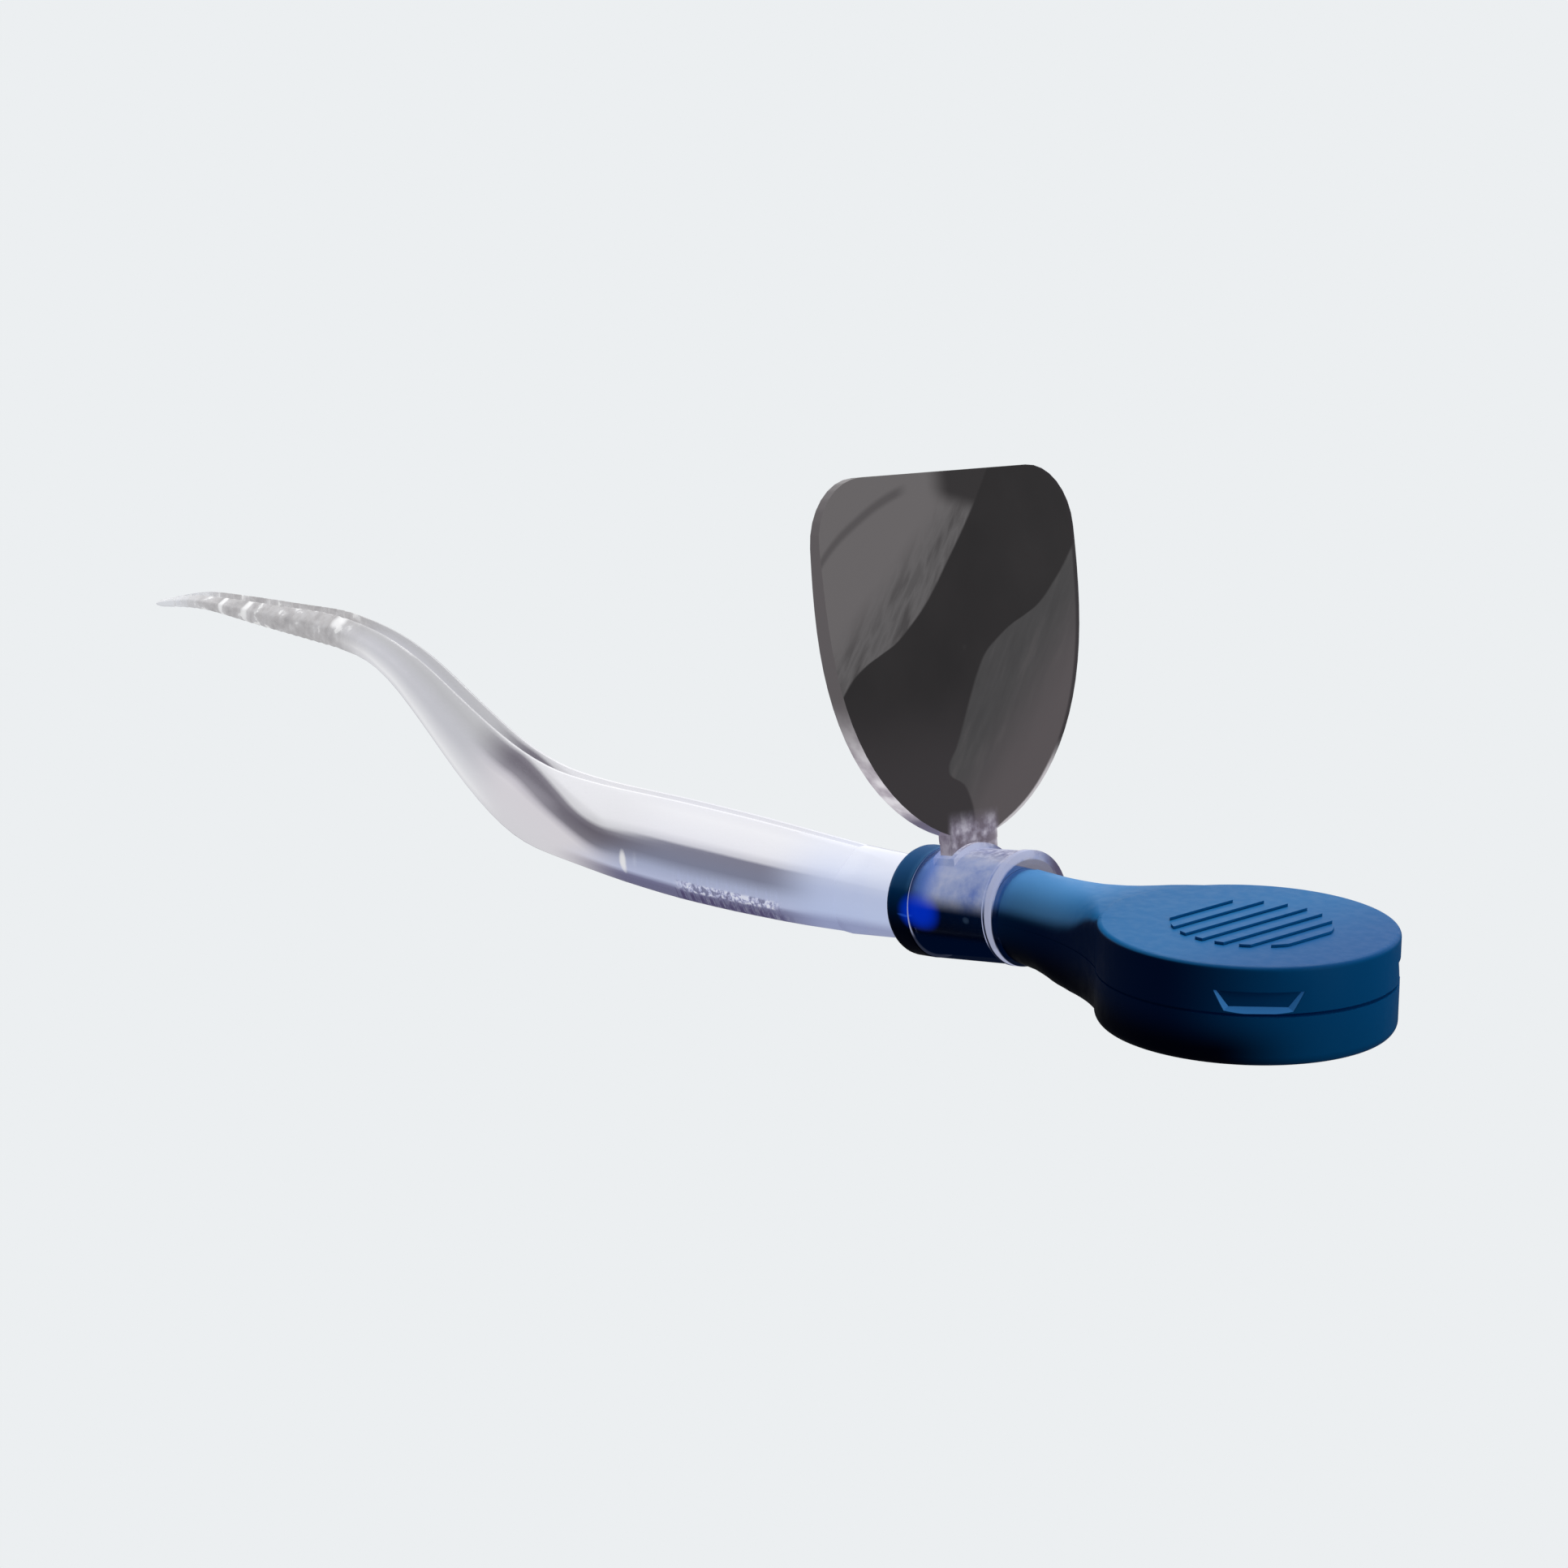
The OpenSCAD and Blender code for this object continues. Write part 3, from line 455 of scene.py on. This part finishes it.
    # bowed reflection line in the upper left lobe
    bow = curve_of(n, n.span(w, -18.0, -4.0, 0, 1, smooth=False), [(0.0, 30.8), (0.08, 32.4), (0.22, 34.2), (0.43, 36.0), (0.67, 37.6), (1.0, 39.0)], 25, 42)
    away = n.math("ABSOLUTE", n.add(h, n.mul(bow, -1.0)))
    line = n.mul(n.mul(n.span(away, 0.7, 0.1), n.span(w, -5.0, -7.0)), n.span(on_edge, 1, 0))
    col = n.mix(n.mul(line, 0.55), col, srgb(66, 63, 65))
    foot = n.span(h, 9.6, 7.6)
    foot = n.mul(foot, n.span(n.math("ABSOLUTE", w), 3.6, 2.6))
    grey = n.ramp(n.noise(900, 3), [(0.38, srgb(108, 100, 114)), (0.52, srgb(138, 132, 148)), (0.66, srgb(176, 172, 186))])
    col = n.mix(n.mul(foot, 0.85), col, grey)
    b = n.bump(cloud, 0.04, 0.0004)
    # emission paints the pane's reflections and shade
    n.out(n.principled(Base_Color=n.mix(0.75, col, (0, 0, 0)), Roughness=0.2, IOR=1.45, Normal=b, Specular_IOR_Level=0.12,
                       Emission_Color=col, Emission_Strength=0.85))
    return m


def metal(name, colour, rough, brushed=(1, 1, 1)):
    m, n = material(name)
    g = n.noise(1800, 3, 0.6, stretch=brushed)
    col = n.mix(g, colour, [min(1, c * 1.2) for c in colour])
    n.out(n.principled(Base_Color=col, Metallic=1.0, Roughness=n.span(g, 0.2, 0.8, rough - 0.06, rough + 0.08), Normal=n.bump(g, 0.15, 0.00005)))
    return m


def plastic(name, colour, rough, **kw):
    m, n = material(name)
    g = n.noise(1200, 3, 0.6)
    col = n.mix(g, [c * 0.9 for c in colour], colour)
    n.out(n.principled(Base_Color=col, Roughness=rough, Normal=n.bump(g, 0.1, 0.00006), **kw))
    return m


def resistor():
    m, n = material("resistor_body")
    x = n.coords()[0]
    at = n.span(x, -0.0190, -0.0140, 0, 1, smooth=False)
    body = srgb(205, 180, 135)
    col = n.ramp(at, [(0.0, body), (0.12, srgb(120, 60, 25)), (0.2, body), (0.36, srgb(20, 20, 20)), (0.44, body),
                      (0.58, srgb(190, 90, 20)), (0.66, body), (0.84, srgb(190, 150, 60)), (0.92, body)], "CONSTANT")
    lead = n.math("GREATER_THAN", n.math("ABSOLUTE", n.add(at, -0.5)), 0.505)
    n.out(n.principled(Base_Color=n.mix(lead, col, (0.7, 0.7, 0.7)), Metallic=lead, Roughness=0.3))
    return m


mats = {
    "shell_blue": shell_blue(),
    "clear_guide": clear_guide(),
    "clear_collar": clear_collar(),
    "smoke_pane": smoke_pane(),
    "steel": metal("steel", (0.62, 0.62, 0.64), 0.25, (0.1, 1, 1)),
    "cell_can": metal("cell_can", (0.68, 0.68, 0.7), 0.3),
    "contact_brass": metal("contact_brass", (0.72, 0.55, 0.27), 0.3, (0.1, 1, 1)),
    "silicone": plastic("silicone", (0.7, 0.7, 0.7), 0.6),
    "white_plastic": plastic("white_plastic", (0.82, 0.82, 0.8), 0.4),
    "film": plastic("film", (0.75, 0.5, 0.12), 0.2),
    "lamp_epoxy": plastic("lamp_epoxy", (0.85, 0.92, 1.0), 0.05, Transmission_Weight=0.8, IOR=1.52),
    "resistor_body": resistor(),
}


# ---------------------------------------------------------------- smooth shading of the carried-over pieces
def smoothing(degrees):
    """Modifier tree: welds split vertices and smooths edges flatter than the angle."""
    g = bpy.data.node_groups.new("weld_and_smooth_%d" % degrees, "GeometryNodeTree")
    g.interface.new_socket("Geometry", in_out="INPUT", socket_type="NodeSocketGeometry")
    g.interface.new_socket("Geometry", in_out="OUTPUT", socket_type="NodeSocketGeometry")
    i = g.nodes.new("NodeGroupInput")
    o = g.nodes.new("NodeGroupOutput")
    w = g.nodes.new("GeometryNodeMergeByDistance")
    w.inputs["Distance"].default_value = 2e-6
    s1 = g.nodes.new("GeometryNodeSetShadeSmooth")
    s1.domain = "FACE"
    s2 = g.nodes.new("GeometryNodeSetShadeSmooth")
    s2.domain = "EDGE"
    s2.inputs["Shade Smooth"].default_value = False
    a = g.nodes.new("GeometryNodeInputMeshEdgeAngle")
    c = g.nodes.new("FunctionNodeCompare")
    c.data_type = "FLOAT"
    c.operation = "GREATER_THAN"
    c.inputs[1].default_value = math.radians(degrees)
    g.links.new(i.outputs[0], w.inputs["Geometry"])
    g.links.new(w.outputs[0], s1.inputs["Geometry"])
    g.links.new(s1.outputs[0], s2.inputs["Geometry"])
    g.links.new(a.outputs["Unsigned Angle"], c.inputs[0])
    g.links.new(c.outputs[0], s2.inputs["Selection"])
    g.links.new(s2.outputs[0], o.inputs[0])
    return g


SMOOTH = smoothing(32)
slot_of = {s["node"]: s["material_slot"] for s in frame["record"]["subparts"]}
for name, obj in nodes.items():
    obj.data.materials.clear()
    obj.data.materials.append(mats[slot_of[name]])
    mod = obj.modifiers.new("smooth", "NODES")
    mod.node_group = SMOOTH

# ---------------------------------------------------------------- floor, light, camera
AZ, EL, ROLL = math.radians(44.8), math.radians(14.36), math.radians(0.79)
back = Vector((math.sin(AZ) * math.cos(EL), -math.cos(AZ) * math.cos(EL), math.sin(EL)))
right = Vector((math.cos(AZ), math.sin(AZ), 0))
up = right.cross(-back)
right2 = math.cos(ROLL) * right + math.sin(ROLL) * up
up2 = -math.sin(ROLL) * right + math.cos(ROLL) * up

cam = bpy.data.objects.new("camera", bpy.data.cameras.new("camera"))
scene.collection.objects.link(cam)
cam.data.sensor_width = 36
cam.data.lens = 112.617
cam.data.clip_start = 0.01
cam.matrix_world = Matrix(
    (
        (right2.x, up2.x, back.x, 0.255674),
        (right2.y, up2.y, back.y, -0.314042),
        (right2.z, up2.z, back.z, 0.123745),
        (0, 0, 0, 1),
    )
)
scene.camera = cam

PALE = srgb(236, 239, 241)


def floor():
    me = bpy.data.meshes.new("floor")
    s = 6.0
    me.from_pydata([(-s, -s, -0.06), (s, -s, -0.06), (s, s, -0.06), (-s, s, -0.06)], [], [(0, 1, 2, 3)])
    ob = bpy.data.objects.new("floor", me)
    scene.collection.objects.link(ob)
    m, n = material("pale_floor")
    lp = n.node("ShaderNodeLightPath")
    geo = n.node("ShaderNodeNewGeometry")
    seen = n.math("MAXIMUM", lp.outputs["Is Camera Ray"], lp.outputs["Is Transmission Ray"])
    col = n.mix(seen, (0.16, 0.165, 0.17), PALE)
    sh = n.emission(col, 1.0)
    clear = n.node("ShaderNodeBsdfTransparent").outputs[0]
    n.out(n.mix_shader(geo.outputs["Backfacing"], sh, clear))
    me.materials.append(m)
    return ob


floor()

world = bpy.data.worlds.new("studio")
scene.world = world
world.use_nodes = True
n = Net(world.node_tree)
lp = n.node("ShaderNodeLightPath")
tc = n.node("ShaderNodeTexCoord")
away = Vector((-math.sin(AZ), math.cos(AZ), 0))
dot = n.node("ShaderNodeVectorMath", operation="DOT_PRODUCT")
n.put(dot.inputs[0], tc.outputs["Generated"])
dot.inputs[1].default_value = away
sep = n.node("ShaderNodeSeparateXYZ")
n.put(sep.inputs[0], tc.outputs["Generated"])
far = n.span(dot.outputs["Value"], -0.1, 0.75)
top = n.span(sep.outputs[2], 0.15, 0.95)
level = n.add(n.add(n.mul(far, 0.85), n.mul(top, 0.7)), 0.04)
seen = n.math("MAXIMUM", lp.outputs["Is Camera Ray"], lp.outputs["Is Transmission Ray"])
sky = n.mix(seen, n.mix(1.0, (1, 1, 1), level, "MULTIPLY"), PALE)
bg = n.node("ShaderNodeBackground")
n.put(bg.inputs[0], sky)
bg.inputs[1].default_value = 1.0
o = n.node("ShaderNodeOutputWorld")
n.t.links.new(bg.outputs[0], o.inputs[0])


def area(name, at, target, size, power, colour=(1, 1, 1)):
    d = bpy.data.lights.new(name, "AREA")
    d.shape = "RECTANGLE"
    d.size, d.size_y = size
    d.energy = power
    d.color = colour
    ob = bpy.data.objects.new(name, d)
    scene.collection.objects.link(ob)
    ob.location = at
    ob.rotation_euler = (Vector(target) - Vector(at)).to_track_quat("-Z", "Y").to_euler()
    return ob


area("key_top", (-0.12, 0.25, 0.55), (-0.04, 0, 0.01), (0.6, 0.4), 5.0)
area("side_right", (0.45, 0.12, 0.12), (0, 0, 0.005), (0.12, 0.3), 0.9)

scene.view_settings.view_transform = "Standard"
scene.view_settings.look = "None"
